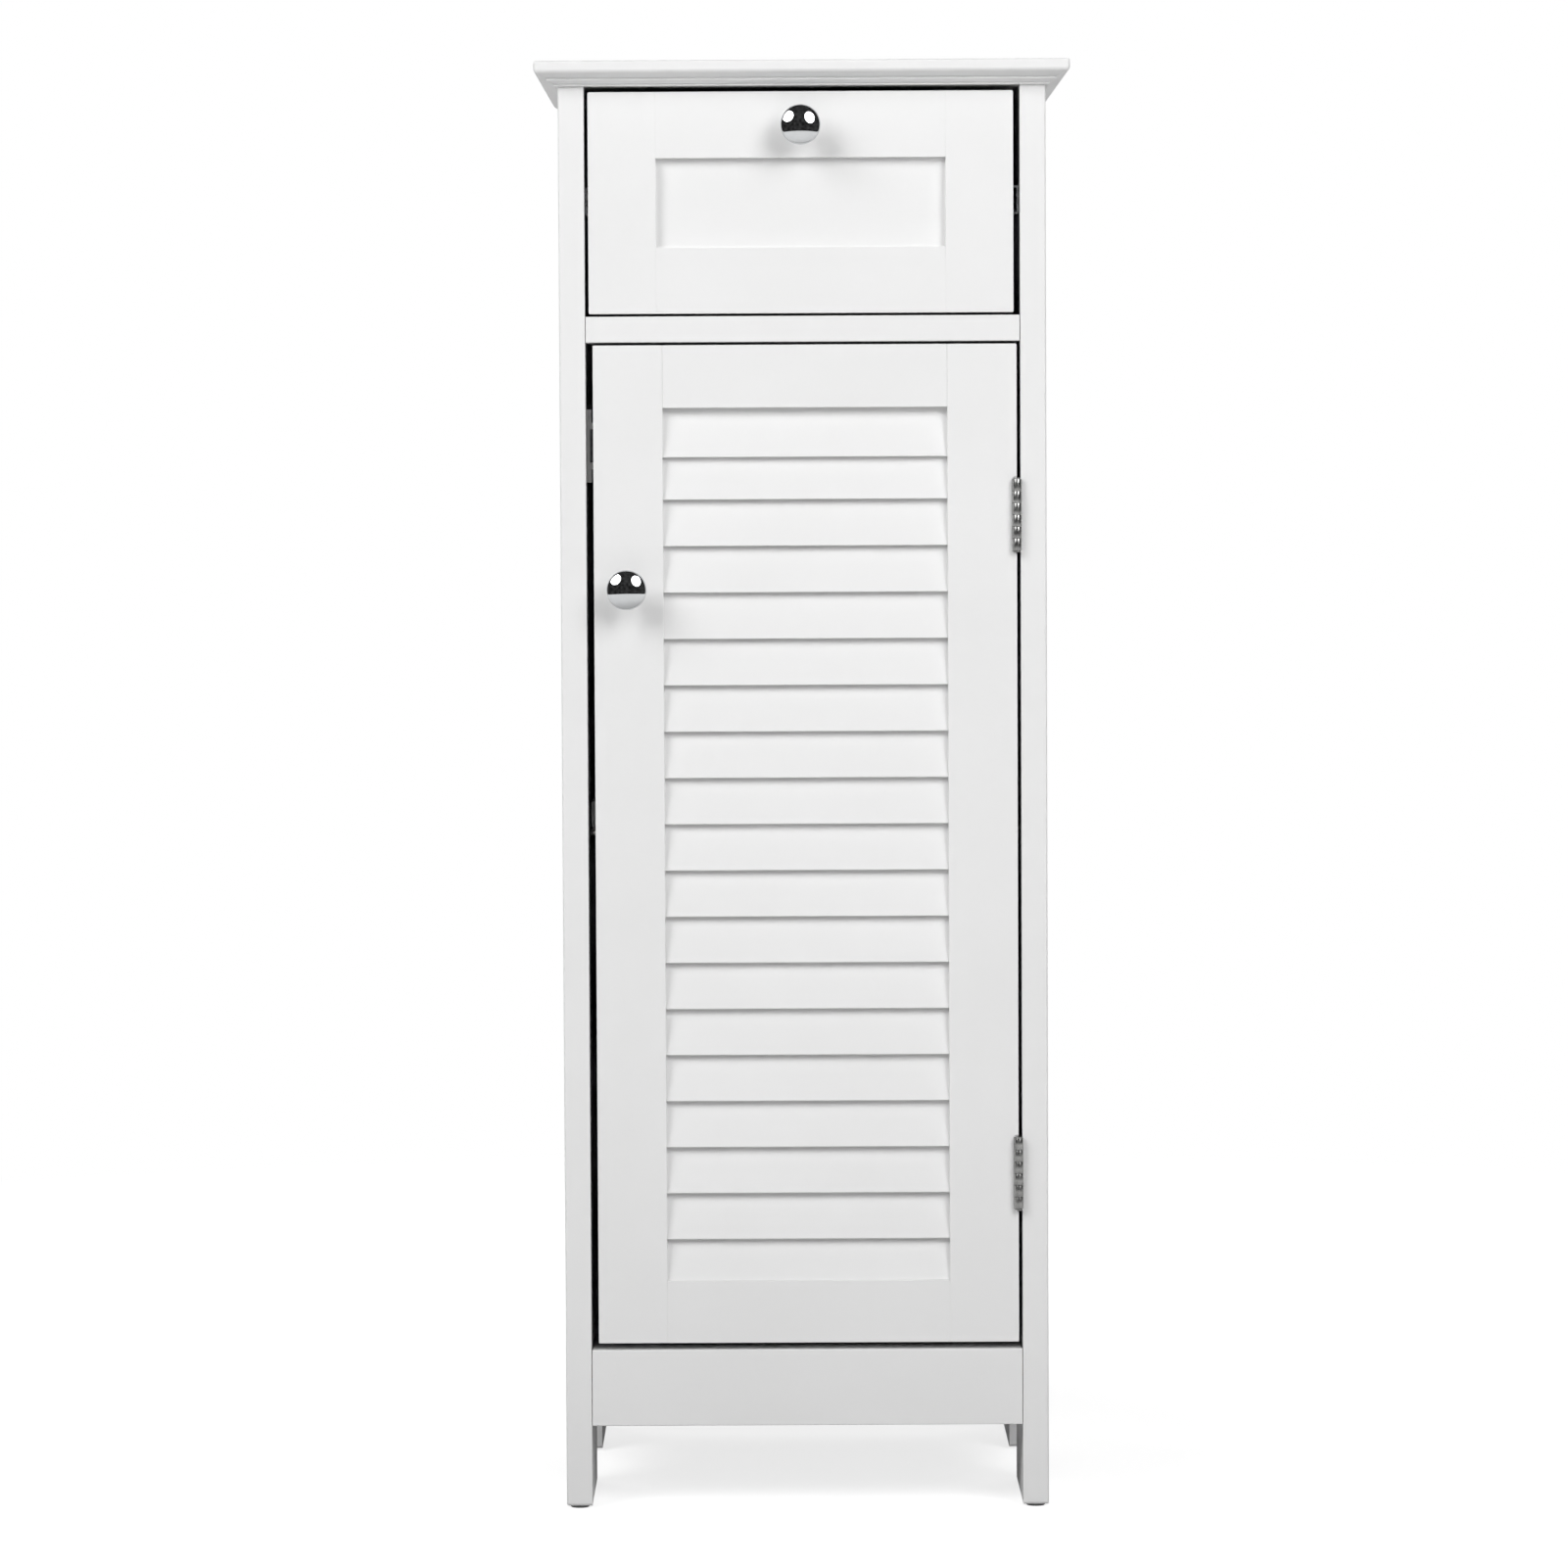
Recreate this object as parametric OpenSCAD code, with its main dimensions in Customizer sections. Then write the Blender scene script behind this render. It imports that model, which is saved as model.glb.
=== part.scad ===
// Louvred door cabinet: a tall, narrow floor cabinet of white lacquered fibreboard.
// A drawer on ball slides sits over a louvred door on two butt hinges, and four legs
// are cut from the side panels. Millimetres. The origin is on the floor, under the
// centre of the whole outline. The front faces -Y, +X is to the right, +Z is up.

/* [Carcass] */
// Overall height, from the floor to the top board's upper face
overall_h = 872; // [720:1:1050]
// Width over the side panels
body_w = 292; // [240:1:360]
// Depth of the side panels
body_d = 286; // [275:1:350]
// Thickness of the lacquered boards, 15 mm board with its lacquer
board_t = 15.5; // [15:0.5:19]
// Height of the open space under the apron
leg_h = 50.3; // [30:0.1:70]
// Height of the front apron and the rear rail
apron_h = 46; // [40:1:70]
// Depth of each leg where it stands on the floor
foot_depth = 90; // [50:1:110]
// Radius of the upper corners of the arch between the legs
arch_r = 25; // [5:1:28]

/* [Top board] */
// Thickness of the top board
top_t = 14.4; // [13:0.1:20]
// How far the top board stands out past the body at the front and sides
top_overhang = 14; // [10:0.5:25]
// Height of the top board's square lip, above the moulding
lip_h = 6.8; // [5:0.1:7.5]
// Share of the moulding's height, below the lip, that its upper bevel takes
upper_bevel_part = 0.43; // [0.35:0.01:0.45]
// How far the middle fillet of the moulding stands out from the body
fillet_out = 6.6; // [6:0.1:9]
// Height of the middle fillet
fillet_h = 1.3; // [0.8:0.1:1.4]
// How far the bottom bead of the moulding stands out from the body
bead_out = 2.4; // [1:0.1:4]
// Height of the bottom bead
bead_h = 1; // [0.6:0.1:1.4]

/* [Back and shelf] */
// Thickness of the back panel
back_t = 3; // [2.5:0.5:5]
// Distance from the back panel to the rear edge of the side panels
back_inset = 8; // [5:0.5:10]
// Depth of the grooves that hold the back panel
back_groove = 5; // [3:0.5:7]
// Height of the shelf's underside above the cabinet floor
shelf_rise = 316; // [150:1:360]
// Gap at each end of the shelf
shelf_gap = 1; // [0.5:0.5:3]
// Distance from the cabinet's front edge to the shelf
shelf_setback = 27; // [20:1:60]
// Diameter of the shelf pins
pin_d = 5; // [4:0.5:6]
// Diameter of a shelf pin's head
pin_head_d = 7; // [6:0.5:9]
// Height from one row of shelf pin holes to the next
pin_pitch = 32; // [25:1:40]

/* [Drawer front] */
// Height of the drawer front
drawer_front_h = 132.4; // [122:0.1:170]
// Gap between the drawer front and the top board
drawer_gap_top = 3.5; // [1:0.1:4.5]
// Gap between the drawer front and the divider
drawer_gap_bottom = 1.6; // [1:0.1:4]
// Gap at the left end of the drawer front
drawer_gap_left = 2.3; // [1:0.1:4]
// Gap at the right end of the drawer front
drawer_gap_right = 4; // [1:0.1:5]
// Width of the drawer front's stiles
drawer_stile_w = 40.5; // [35:0.1:48]
// Height of the drawer front's rails
drawer_rail_h = 39.5; // [30:0.1:42]
// Depth of the drawer front's panel behind its frame
panel_recess = 5; // [3:0.5:6]
// Thickness of the drawer front's panel
panel_t = 5; // [4:0.5:6]
// Depth of the groove that holds the panel
panel_groove = 6; // [4:0.5:8]

/* [Drawer box] */
// Thickness of the drawer box's sides and back
box_board_t = 12; // [11:0.5:15]
// Height of the drawer box
box_h = 92; // [80:1:100]
// Depth of the drawer box behind the drawer front
box_d = 240; // [200:1:245]
// Height of the drawer box above the drawer front's lower edge
box_rise = 18; // [10:1:20]
// Thickness of the drawer bottom
drawer_bottom_t = 3; // [3:0.5:5]
// Height of the drawer bottom above the drawer box's lower edge
drawer_bottom_rise = 8; // [6:0.5:10]
// Depth of the grooves that hold the drawer bottom
bottom_groove = 5; // [4:0.5:6]

/* [Drawer slides] */
// Length of each slide
slide_l = 240; // [200:1:245]
// How far the drawer pulls out
slide_travel = 175; // [120:1:180]
// Height of the cabinet member of a slide
slide_h = 17; // [17:0.5:20]
// Thickness of a whole slide, from the side panel to the drawer box
slide_t = 10.2; // [10:0.1:12.7]
// Thickness of the slide's steel
slide_steel = 1.2; // [1:0.1:1.4]
// Radius of the slide's balls
ball_r = 1.4; // [1.2:0.1:1.6]
// Height of the slide's centre above the drawer box's lower edge
slide_rise = 50; // [40:1:55]

/* [Door] */
// Gap between the door and the divider
door_gap_top = 1.7; // [1:0.1:4]
// Gap between the door and the cabinet floor
door_gap_bottom = 4.3; // [1:0.1:6]
// Gap at the door's free edge
door_gap_free = 4.5; // [1:0.1:5]
// Gap at the door's hinged edge
door_gap_hinge = 2.3; // [1.8:0.1:3]
// Width of the door's stiles
door_stile_w = 41.6; // [35:0.1:48]
// Height of the door's rails
door_rail_h = 37.6; // [30:0.1:60]
// Length of the tenons on the door's rails
tenon_l = 10; // [6:0.5:16]
// Thickness of the tenons on the door's rails
tenon_t = 6; // [4:0.5:7]

/* [Louvre] */
// Wanted spacing of the slats, which is then fitted to the opening
slat_spacing = 27.9; // [25:0.1:36]
// Spacing of the outermost slat at each end
slat_end_step = 25.4; // [24.5:0.1:30]
// Distance from the top rail down to the top slat's lower edge
slat_drop = 29.6; // [27:0.1:34]
// Thickness of a slat
slat_t = 3.5; // [2.5:0.1:3.8]
// Lean of the slats from upright
slat_lean = 9.5; // [9:0.1:12]
// How far each slat reaches up behind the one above
slat_lap = 5.5; // [3:0.1:7]
// Depth of the slats' lower edges behind the door's face
slat_recess = 1.4; // [0.5:0.1:1.5]
// Depth of the stiles' slots that hold the slats
slat_slot = 5; // [3:0.5:8]
// Length of the tongue on each end of a slat
slat_tongue = 16; // [10:0.5:20]

/* [Hinges] */
// Height of a hinge
hinge_h = 42.6; // [36:0.1:60]
// Radius of the hinge knuckles
knuckle_r = 2.8; // [2.6:0.05:3]
// Number of knuckles on a hinge, an even number
knuckle_n = 6; // [4:2:8]
// Radius of the hinge pin
hinge_pin_r = 1.2; // [1:0.05:1.4]
// Width of a hinge leaf, from the pin
leaf_w = 13; // [11:0.5:14]
// Thickness of a hinge leaf
leaf_t = 1; // [0.8:0.1:1.2]
// How far the hinge pin stands in front of the door's face
pin_stand = 2; // [1:0.1:2.5]
// Distance from a hinge's centre to the nearer end of the door
hinge_inset = 102.6; // [60:0.1:140]

/* [Knobs and catch] */
// Diameter of a knob's dome
knob_d = 24; // [18:0.2:30]
// How far a knob stands out from the front
knob_out = 22; // [20:0.5:28]
// Distance from the drawer front's upper edge to its knob
drawer_knob_drop = 20.9; // [18:0.1:25]
// Distance from the door's upper edge to its knob
door_knob_drop = 146.4; // [120:0.1:200]
// Distance from the door's free edge to its knob
door_knob_inset = 19.9; // [16:0.1:24]
// Distance from the door's upper edge to the middle of the catch
catch_drop = 60; // [50:1:75]
// Height of the catch
catch_h = 44; // [38:1:50]

/* [Fasteners] */
// Diameter of a cam lock
cam_d = 15; // [12:0.5:15]
// Distance from a joint to the centre of its cam lock
cam_reach = 24; // [22:0.5:34]
// Diameter of the carcass dowels
dowel_d = 8; // [6:0.5:8]
// Diameter of the glides under the legs
glide_d = 12; // [10:0.5:13]
// Height of the glides under the legs
glide_h = 1.5; // [1:0.1:3]

/* [Hidden] */
$fn = 48;

// Clearances and small sizes that every piece shares
bore_gap = 0.05;      // radial clearance of a fastener in its bore
slip = 0.15;          // clearance round a slat's tongue in its slot
swing_gap = 0.3;      // clearance between pieces that turn past each other
panel_float = 0.4;    // room for a thin panel to move in its grooves
eps = 0.02;           // how far a cutting shape runs past the face it cuts

// The main planes, from the floor up and from front to back
inner_w = body_w - 2 * board_t;
inner_x = inner_w / 2;
front_y = (max(top_overhang, knob_out) - body_d) / 2;
back_y = front_y + body_d;
back_front_y = back_y - back_inset - back_t;
top_under_z = overall_h - top_t;
floor_z = leg_h + apron_h;
drawer_z1 = top_under_z - drawer_gap_top;
drawer_z0 = drawer_z1 - drawer_front_h;
divider_z1 = drawer_z0 - drawer_gap_bottom;
divider_z0 = divider_z1 - board_t;
door_z1 = divider_z0 - door_gap_top;
door_z0 = floor_z + door_gap_bottom;
shelf_z = floor_z + shelf_rise;
board_back_y = front_y + board_t;

// The door's edges and its louvre opening
door_x0 = -inner_x + door_gap_free;
door_x1 = inner_x - door_gap_hinge;
louvre_x0 = door_x0 + door_stile_w;
louvre_x1 = door_x1 - door_stile_w;
louvre_z0 = door_z0 + door_rail_h;
louvre_z1 = door_z1 - door_rail_h;
slat_run = louvre_z1 - louvre_z0 - slat_drop;
slat_steps = round((slat_run - 2 * slat_end_step) / slat_spacing);
slat_pitch = (slat_run - 2 * slat_end_step) / slat_steps;
slat_zs = concat([0], [for (i = [0:slat_steps]) slat_end_step + i * slat_pitch], [slat_run]);
slat_l = (slat_pitch + slat_lap) / cos(slat_lean);

// The drawer front's edges, and the drawer box between the slides
drawer_x0 = -inner_x + drawer_gap_left;
drawer_x1 = inner_x - drawer_gap_right;
panel_x0 = drawer_x0 + drawer_stile_w;
panel_x1 = drawer_x1 - drawer_stile_w;
panel_z0 = drawer_z0 + drawer_rail_h;
panel_z1 = drawer_z1 - drawer_rail_h;
box_x = inner_x - slide_t;
box_inner_x = box_x - box_board_t;
box_back_y = board_back_y + box_d;
box_z0 = drawer_z0 + box_rise;
box_z1 = box_z0 + box_h;
drawer_bottom_z = box_z0 + drawer_bottom_rise;

// The slides: sizes ending in _u are measured in from the side panel's inner face
slide_setback = 2;
slide_y = board_back_y + slide_setback;
slide_z = box_z0 + slide_rise;
outer_half_h = slide_h / 2;
race_gap = 2.3;
race_clear = 0.06;
inner_half_h = outer_half_h - slide_steel - race_gap;
ball_z = outer_half_h - slide_steel - race_gap / 2;
ball_u = slide_t / 2;
outer_edge_u = slide_t - 2.7;
inner_edge_u = 3.2;
cage_web_u = 1.8;
cage_edge_u = ball_u + 2;
cage_steel = 0.5;
cage_margin = 2;
cage_l = slide_l - slide_travel - 2.5 * cage_margin;
cage_y = slide_y + slide_travel / 2 + cage_margin;
ball_pitch = 8;
ball_n = floor((cage_l - 2 * cage_margin) / ball_pitch);
ball_start = (cage_l - (ball_n - 1) * ball_pitch) / 2;

// The hinge axis and the hinges' heights
hinge_x = inner_x - sqrt(pow(knuckle_r + swing_gap, 2) - pow(pin_stand, 2));
hinge_y = front_y - pin_stand;
hinge_zs = [door_z0 + hinge_inset, door_z1 - hinge_inset];
knuckle_h = hinge_h / knuckle_n;
knuckle_gap = 0.3;
leaf_start = knuckle_r + swing_gap;

// Knobs, the catch and its strike plate
drawer_knob_at = [(drawer_x0 + drawer_x1) / 2, front_y, drawer_z1 - drawer_knob_drop];
door_knob_at = [door_x0 + door_knob_inset, front_y, door_z1 - door_knob_drop];
knob_neck_r = 4.5;
knob_base_r = 6.5;
knob_screw_r = 2;
knob_screw_bite = 8;
strike_t = 1;
catch_gap = 0.6;
catch_z = door_z1 - catch_drop;
catch_y = board_back_y + strike_t + catch_gap;
catch_x = -inner_x;

// Screws: the sizes are [length, diameter, head diameter, head depth]
hinge_screw = [12, 3, 5.4, 1.4];
slide_screw = [12, 3.5, 6, 1.7];
catch_screw = [12, 3, 5.4, 1.4];
back_screw = [32, 3.5, 6.5, 2];
strike_size = [10, 24];

// Places of the fasteners along the depth of the boards
cam_ys = [front_y + 42, back_y - 52];
dowel_ys = [front_y + 74, back_y - 84];
pin_ys = [front_y + 37, back_y - 50];
glide_in = glide_d / 2 + 1.5;    // from the legs' front or rear faces to the glides' centres
foot_ys = [front_y + glide_in, back_y - glide_in];
slide_screw_ys = [slide_y + 22, slide_y + slide_l - 22];

// Cam bolts, cam locks and dowels
bolt_thread = 10;
bolt_thread_r = 2.5;
bolt_shank_r = 2.2;
bolt_head_r = 3.1;
bolt_head_l = 3;
bolt_bore_r = 3.5;
cam_floor = 0.75;
cam_depth = board_t / 2 + bolt_bore_r + cam_floor;
box_cam_depth = box_board_t / 2 + bolt_bore_r;
dowel_in_face = 10;
dowel_in_edge = 20;
box_dowel_r = 3;
box_dowel_in_face = 9;
// heights of the joints in the apron and the rear rail, and in the drawer box
apron_bolt_up = 13;
apron_dowel_down = 14;
box_bolt_up = 28;
box_dowel_up = 72;

// Shelf pins, and the nails of the glides
pin_in = 9;
pin_out = 7;
nail_r = 1;
nail_l = 13;

// ---------------------------------------------------------------- small helpers

// A box between two opposite corners
module block(lo, hi) {
    translate(lo) cube(hi - lo);
}

// Turns +Z to point along dir, and moves it to a point
module along(from, dir) {
    translate(from) rotate([0, acos(dir.z), atan2(dir.y, dir.x)]) children();
}

// A round rod or bore of radius r, from a point, for a length
module rod(from, dir, r, l) {
    along(from, dir) cylinder(h = l, r = r);
}

// A countersunk screw, with its head's flat face at from, driven along dir
module screw(from, dir, s) {
    tip = 2;
    along(from, dir) difference() {
        union() {
            cylinder(h = s[3], r1 = s[2] / 2, r2 = s[1] / 2);
            cylinder(h = s[0] - tip, r = s[1] / 2);
            translate([0, 0, s[0] - tip]) cylinder(h = tip, r1 = s[1] / 2, r2 = 0.4);
        }
        for (a = [0, 90])
            rotate([0, 0, a])
                block([-s[2] * 0.28, -0.35, -eps], [s[2] * 0.28, 0.35, s[3] * 0.7]);
    }
}

// The countersunk bore that a screw sits in
module screw_bore(from, dir, s) {
    along(from, dir) {
        cylinder(h = s[3], r1 = s[2] / 2 + bore_gap, r2 = s[1] / 2 + bore_gap);
        cylinder(h = s[0] + 0.3, r = s[1] / 2 + bore_gap);
        translate([0, 0, -eps]) cylinder(h = 2 * eps, r = s[2] / 2 + bore_gap);
    }
}

// ---------------------------------------------------------------- cam joints and dowels
// A cam joint is [point in the joint, direction of the bolt's shank, direction from the
// open face of the board to the cam's bottom]. A dowel is [point, direction into the edge].

function top_cams(s) = [for (y = cam_ys)
    [[s * (inner_x + board_t / 2), y, top_under_z], [0, 0, -1], [s, 0, 0]]];
function divider_cams(s) = [for (y = cam_ys)
    [[s * inner_x, y, divider_z0 + board_t / 2], [-s, 0, 0], [0, 0, 1]]];
function floor_cams(s) = [for (y = cam_ys)
    [[s * inner_x, y, floor_z - board_t / 2], [-s, 0, 0], [0, 0, 1]]];
function apron_cams(s) =
    [[[s * inner_x, front_y + board_t / 2, leg_h + apron_bolt_up], [-s, 0, 0], [0, -1, 0]]];
function rail_cams(s) =
    [[[s * inner_x, back_y - board_t / 2, leg_h + apron_bolt_up], [-s, 0, 0], [0, 1, 0]]];
function side_cams(s) =
    concat(top_cams(s), divider_cams(s), floor_cams(s), apron_cams(s), rail_cams(s));

function top_dowels(s) = [for (y = dowel_ys)
    [[s * (inner_x + board_t / 2), y, top_under_z], [0, 0, -1]]];
function divider_dowels(s) = [for (y = dowel_ys)
    [[s * inner_x, y, divider_z0 + board_t / 2], [-s, 0, 0]]];
function floor_dowels(s) = [for (y = dowel_ys)
    [[s * inner_x, y, floor_z - board_t / 2], [-s, 0, 0]]];
function apron_dowels(s) =
    [[[s * inner_x, front_y + board_t / 2, floor_z - apron_dowel_down], [-s, 0, 0]]];
function rail_dowels(s) =
    [[[s * inner_x, back_y - board_t / 2, floor_z - apron_dowel_down], [-s, 0, 0]]];
function side_dowels(s) = concat(
    top_dowels(s), divider_dowels(s), floor_dowels(s), apron_dowels(s), rail_dowels(s));

function box_cams(s) = [[[s * (box_x - box_board_t / 2), board_back_y, box_z0 + box_bolt_up],
    [0, 1, 0], [s, 0, 0]]];
function box_dowels(s) =
    [[[s * (box_x - box_board_t / 2), board_back_y, box_z0 + box_dowel_up], [0, 1, 0]]];

module cam_bolt(joint) {
    from = joint[0];
    dir = joint[1];
    rod(from - bolt_thread * dir, dir, bolt_thread_r, bolt_thread);
    rod(from, dir, bolt_shank_r, cam_reach);
    rod(from + (cam_reach - bolt_head_l + 1) * dir, dir, bolt_head_r, bolt_head_l);
}

// The bolt's bores in both boards, and the round pocket for the cam lock
module cam_joint_cut(joint, t, depth) {
    from = joint[0];
    dir = joint[1];
    rod(from - (bolt_thread + 0.3) * dir, dir, bolt_thread_r + bore_gap, bolt_thread + 0.3);
    rod(from, dir, bolt_bore_r, cam_reach);
    rod(from + cam_reach * dir - (t / 2 + eps) * joint[2], joint[2],
        cam_d / 2 + bore_gap, depth + eps);
}

module cam_lock(joint, t, depth) {
    centre = joint[0] + cam_reach * joint[1] - t / 2 * joint[2];
    difference() {
        rod(centre, joint[2], cam_d / 2, depth);
        rod(joint[0] + (cam_reach - cam_d / 2 - 1) * joint[1], joint[1], bolt_bore_r, cam_d / 2 + 3);
        along(centre, joint[2])
            for (a = [0, 90])
                rotate([0, 0, a]) block([-3.4, -0.6, -eps], [3.4, 0.6, 1.8]);
    }
}

module dowel(d, r, in_face, in_edge) {
    rod(d[0] - in_face * d[1], d[1], r, in_face + in_edge);
}

module dowel_cut(d, r, in_face, in_edge) {
    rod(d[0] - (in_face + 0.5) * d[1], d[1], r + bore_gap, in_face + in_edge + 1);
}

module cut_joints(cams, dowels) {
    for (j = cams) cam_joint_cut(j, board_t, cam_depth);
    for (d = dowels) dowel_cut(d, dowel_d / 2, dowel_in_face, dowel_in_edge);
}

// ---------------------------------------------------------------- carcass

// The moulded edge in section, from the lip's upper edge down: each point is [out from
// the body, height above the underside]
quirk = 0.5;      // how far behind the face below it a bevel ends
fillet_z1 = (top_t - lip_h) * (1 - upper_bevel_part);
fillet_z0 = fillet_z1 - fillet_h;
moulding = [
    [top_overhang, top_t], [top_overhang, top_t - lip_h],
    [fillet_out - quirk, fillet_z1], [fillet_out, fillet_z1], [fillet_out, fillet_z0],
    [bead_out - quirk, bead_h], [bead_out, bead_h], [bead_out, 0]
];

module top_panel() {
    half = body_w / 2;
    color("white") difference() {
        intersection() {
            // front edge moulded, back edge square
            translate([-half - top_overhang, front_y, top_under_z])
                rotate([90, 0, 90]) linear_extrude(body_w + 2 * top_overhang)
                    polygon(concat([[body_d, 0], [body_d, top_t]], [for (p = moulding) [-p.x, p.y]]));
            // both side edges moulded
            translate([0, back_y, top_under_z]) rotate([90, 0, 0])
                linear_extrude(body_d + top_overhang) polygon(concat(
                    [for (p = moulding) [half + p.x, p.y]],
                    [for (i = [len(moulding) - 1:-1:0]) [-half - moulding[i].x, moulding[i].y]]
                ));
        }
        block([-inner_x - back_groove, back_front_y, top_under_z - eps],
              [inner_x + back_groove, back_front_y + back_t, top_under_z + back_groove]);
        for (s = [-1, 1]) cut_joints(top_cams(s), top_dowels(s));
    }
}

// Outline of a side panel seen from the side, with the arch between its two legs
module side_outline() {
    arch_w = body_d - 2 * foot_depth;
    difference() {
        translate([front_y, glide_h]) square([body_d, top_under_z - glide_h]);
        translate([front_y + foot_depth, 0]) {
            square([arch_w, leg_h - arch_r]);
            translate([arch_r, 0]) square([arch_w - 2 * arch_r, leg_h]);
            for (x = [arch_r, arch_w - arch_r])
                translate([x, leg_h - arch_r]) circle(r = arch_r);
        }
    }
}

module side_panel(s) {
    color("white") difference() {
        translate([s > 0 ? inner_x : -inner_x - board_t, 0, 0])
            rotate([90, 0, 90]) linear_extrude(board_t) side_outline();
        // groove for the back panel
        block([min(s * inner_x, s * (inner_x + back_groove)) - (s > 0 ? eps : 0), back_front_y, floor_z],
              [max(s * inner_x, s * (inner_x + back_groove)) + (s < 0 ? eps : 0),
               back_front_y + back_t, top_under_z + eps]);
        cut_joints(side_cams(s), side_dowels(s));
        for (y = pin_ys, row = [-1, 0, 1])
            rod([s * (inner_x - eps), y, shelf_z - pin_head_d / 2 + row * pin_pitch], [s, 0, 0],
                pin_d / 2 + bore_gap, pin_in + 0.5);
        for (y = slide_screw_ys)
            screw_bore([s * (inner_x - slide_steel), y, slide_z], [s, 0, 0], slide_screw);
        for (y = foot_ys)
            rod([s * (inner_x + board_t / 2), y, 0], [0, 0, 1], nail_r + bore_gap, nail_l + 1);
        if (s > 0)
            hinge_screws_at(1) screw_bore([0, 0, 0], [1, 0, 0], hinge_screw);
        else
            for (z = catch_screw_zs())
                screw_bore([catch_x + catch_ear, catch_y + catch_size.y / 2, z], [-1, 0, 0], catch_screw);
    }
}

module side_panel_left() {
    side_panel(-1);
}

module side_panel_right() {
    side_panel(1);
}

module divider_panel() {
    color("white") difference() {
        block([-inner_x, front_y, divider_z0], [inner_x, back_front_y, divider_z1]);
        for (s = [-1, 1]) cut_joints(divider_cams(s), divider_dowels(s));
    }
}

module bottom_panel() {
    color("white") difference() {
        block([-inner_x, board_back_y, floor_z - board_t], [inner_x, back_y - board_t, floor_z]);
        for (s = [-1, 1]) cut_joints(floor_cams(s), floor_dowels(s));
    }
}

module front_apron() {
    color("white") difference() {
        block([-inner_x, front_y, leg_h], [inner_x, board_back_y, floor_z]);
        for (s = [-1, 1]) cut_joints(apron_cams(s), apron_dowels(s));
    }
}

module rear_rail() {
    color("white") difference() {
        block([-inner_x, back_y - board_t, leg_h], [inner_x, back_y, floor_z]);
        for (s = [-1, 1]) cut_joints(rail_cams(s), rail_dowels(s));
    }
}

module back_panel() {
    reach = back_groove - panel_float;
    color("whitesmoke")
        block([-inner_x - reach, back_front_y, floor_z],
              [inner_x + reach, back_front_y + back_t, top_under_z + reach]);
}

module shelf() {
    color("white")
        block([-inner_x + shelf_gap, front_y + shelf_setback, shelf_z],
              [inner_x - shelf_gap, back_front_y - shelf_gap, shelf_z + board_t]);
}

module shelf_pins() {
    color("silver") for (s = [-1, 1], y = pin_ys) {
        from = [s * inner_x, y, shelf_z - pin_head_d / 2];
        rod(from, [s, 0, 0], pin_d / 2, pin_in);
        rod(from, [-s, 0, 0], pin_head_d / 2, pin_out);
    }
}

module cam_bolts() {
    color("silver") for (s = [-1, 1], j = side_cams(s)) cam_bolt(j);
}

module cam_locks() {
    color("silver") for (s = [-1, 1], j = side_cams(s)) cam_lock(j, board_t, cam_depth);
}

module carcass_dowels() {
    color("burlywood") for (s = [-1, 1], d = side_dowels(s))
        dowel(d, dowel_d / 2, dowel_in_face, dowel_in_edge);
}

// Nail-on glides, each with its nail in the leg
module foot_glides() {
    color("dimgray") for (s = [-1, 1], y = foot_ys)
        translate([s * (inner_x + board_t / 2), y, 0]) {
            cylinder(h = glide_h / 2, r1 = glide_d / 2 - 0.6, r2 = glide_d / 2);
            translate([0, 0, glide_h / 2]) cylinder(h = glide_h / 2, r = glide_d / 2);
            cylinder(h = nail_l, r = nail_r);
        }
}

// ---------------------------------------------------------------- magnetic catch

catch_ear = 3;
catch_size = [13, 13, 28];
magnet_size = [9, 5, 20];
function catch_screw_zs() = [for (m = [-1, 1]) catch_z + m * (catch_h / 2 - 4)];

module magnet_pocket(gap) {
    half = magnet_size / 2;
    mid_x = catch_x + catch_size.x / 2;
    block([mid_x - half.x - gap, catch_y, catch_z - half.z - gap],
          [mid_x + half.x + gap, catch_y + magnet_size.y + gap, catch_z + half.z + gap]);
}

module catch_case() {
    color("white") difference() {
        union() {
            block([catch_x, catch_y, catch_z - catch_h / 2],
                  [catch_x + catch_ear, catch_y + catch_size.y, catch_z + catch_h / 2]);
            block([catch_x, catch_y, catch_z - catch_size.z / 2],
                  [catch_x + catch_size.x, catch_y + catch_size.y, catch_z + catch_size.z / 2]);
        }
        translate([0, -eps, 0]) magnet_pocket(0);
        magnet_pocket(0);
        for (z = catch_screw_zs())
            screw_bore([catch_x + catch_ear, catch_y + catch_size.y / 2, z], [-1, 0, 0], catch_screw);
    }
}

module catch_magnet() {
    color("dimgray") magnet_pocket(0);
}

module catch_screws() {
    color("silver") for (z = catch_screw_zs())
        screw([catch_x + catch_ear, catch_y + catch_size.y / 2, z], [-1, 0, 0], catch_screw);
}

strike_shift = 3;
function strike_at() = [catch_x + catch_size.x / 2 + strike_shift, board_back_y, catch_z];

module strike_plate() {
    at = strike_at();
    color("silver") difference() {
        block([at.x - strike_size[0] / 2, at.y, at.z - strike_size[1] / 2],
              [at.x + strike_size[0] / 2, at.y + strike_t, at.z + strike_size[1] / 2]);
        screw_bore([at.x, at.y + strike_t, at.z], [0, -1, 0], catch_screw);
    }
}

module strike_screw() {
    at = strike_at();
    color("silver") screw([at.x, at.y + strike_t, at.z], [0, -1, 0], catch_screw);
}

// ---------------------------------------------------------------- hinges
// side 1 is the frame leaf, on the side panel; side -1 is the door leaf, in its mortise.

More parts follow.
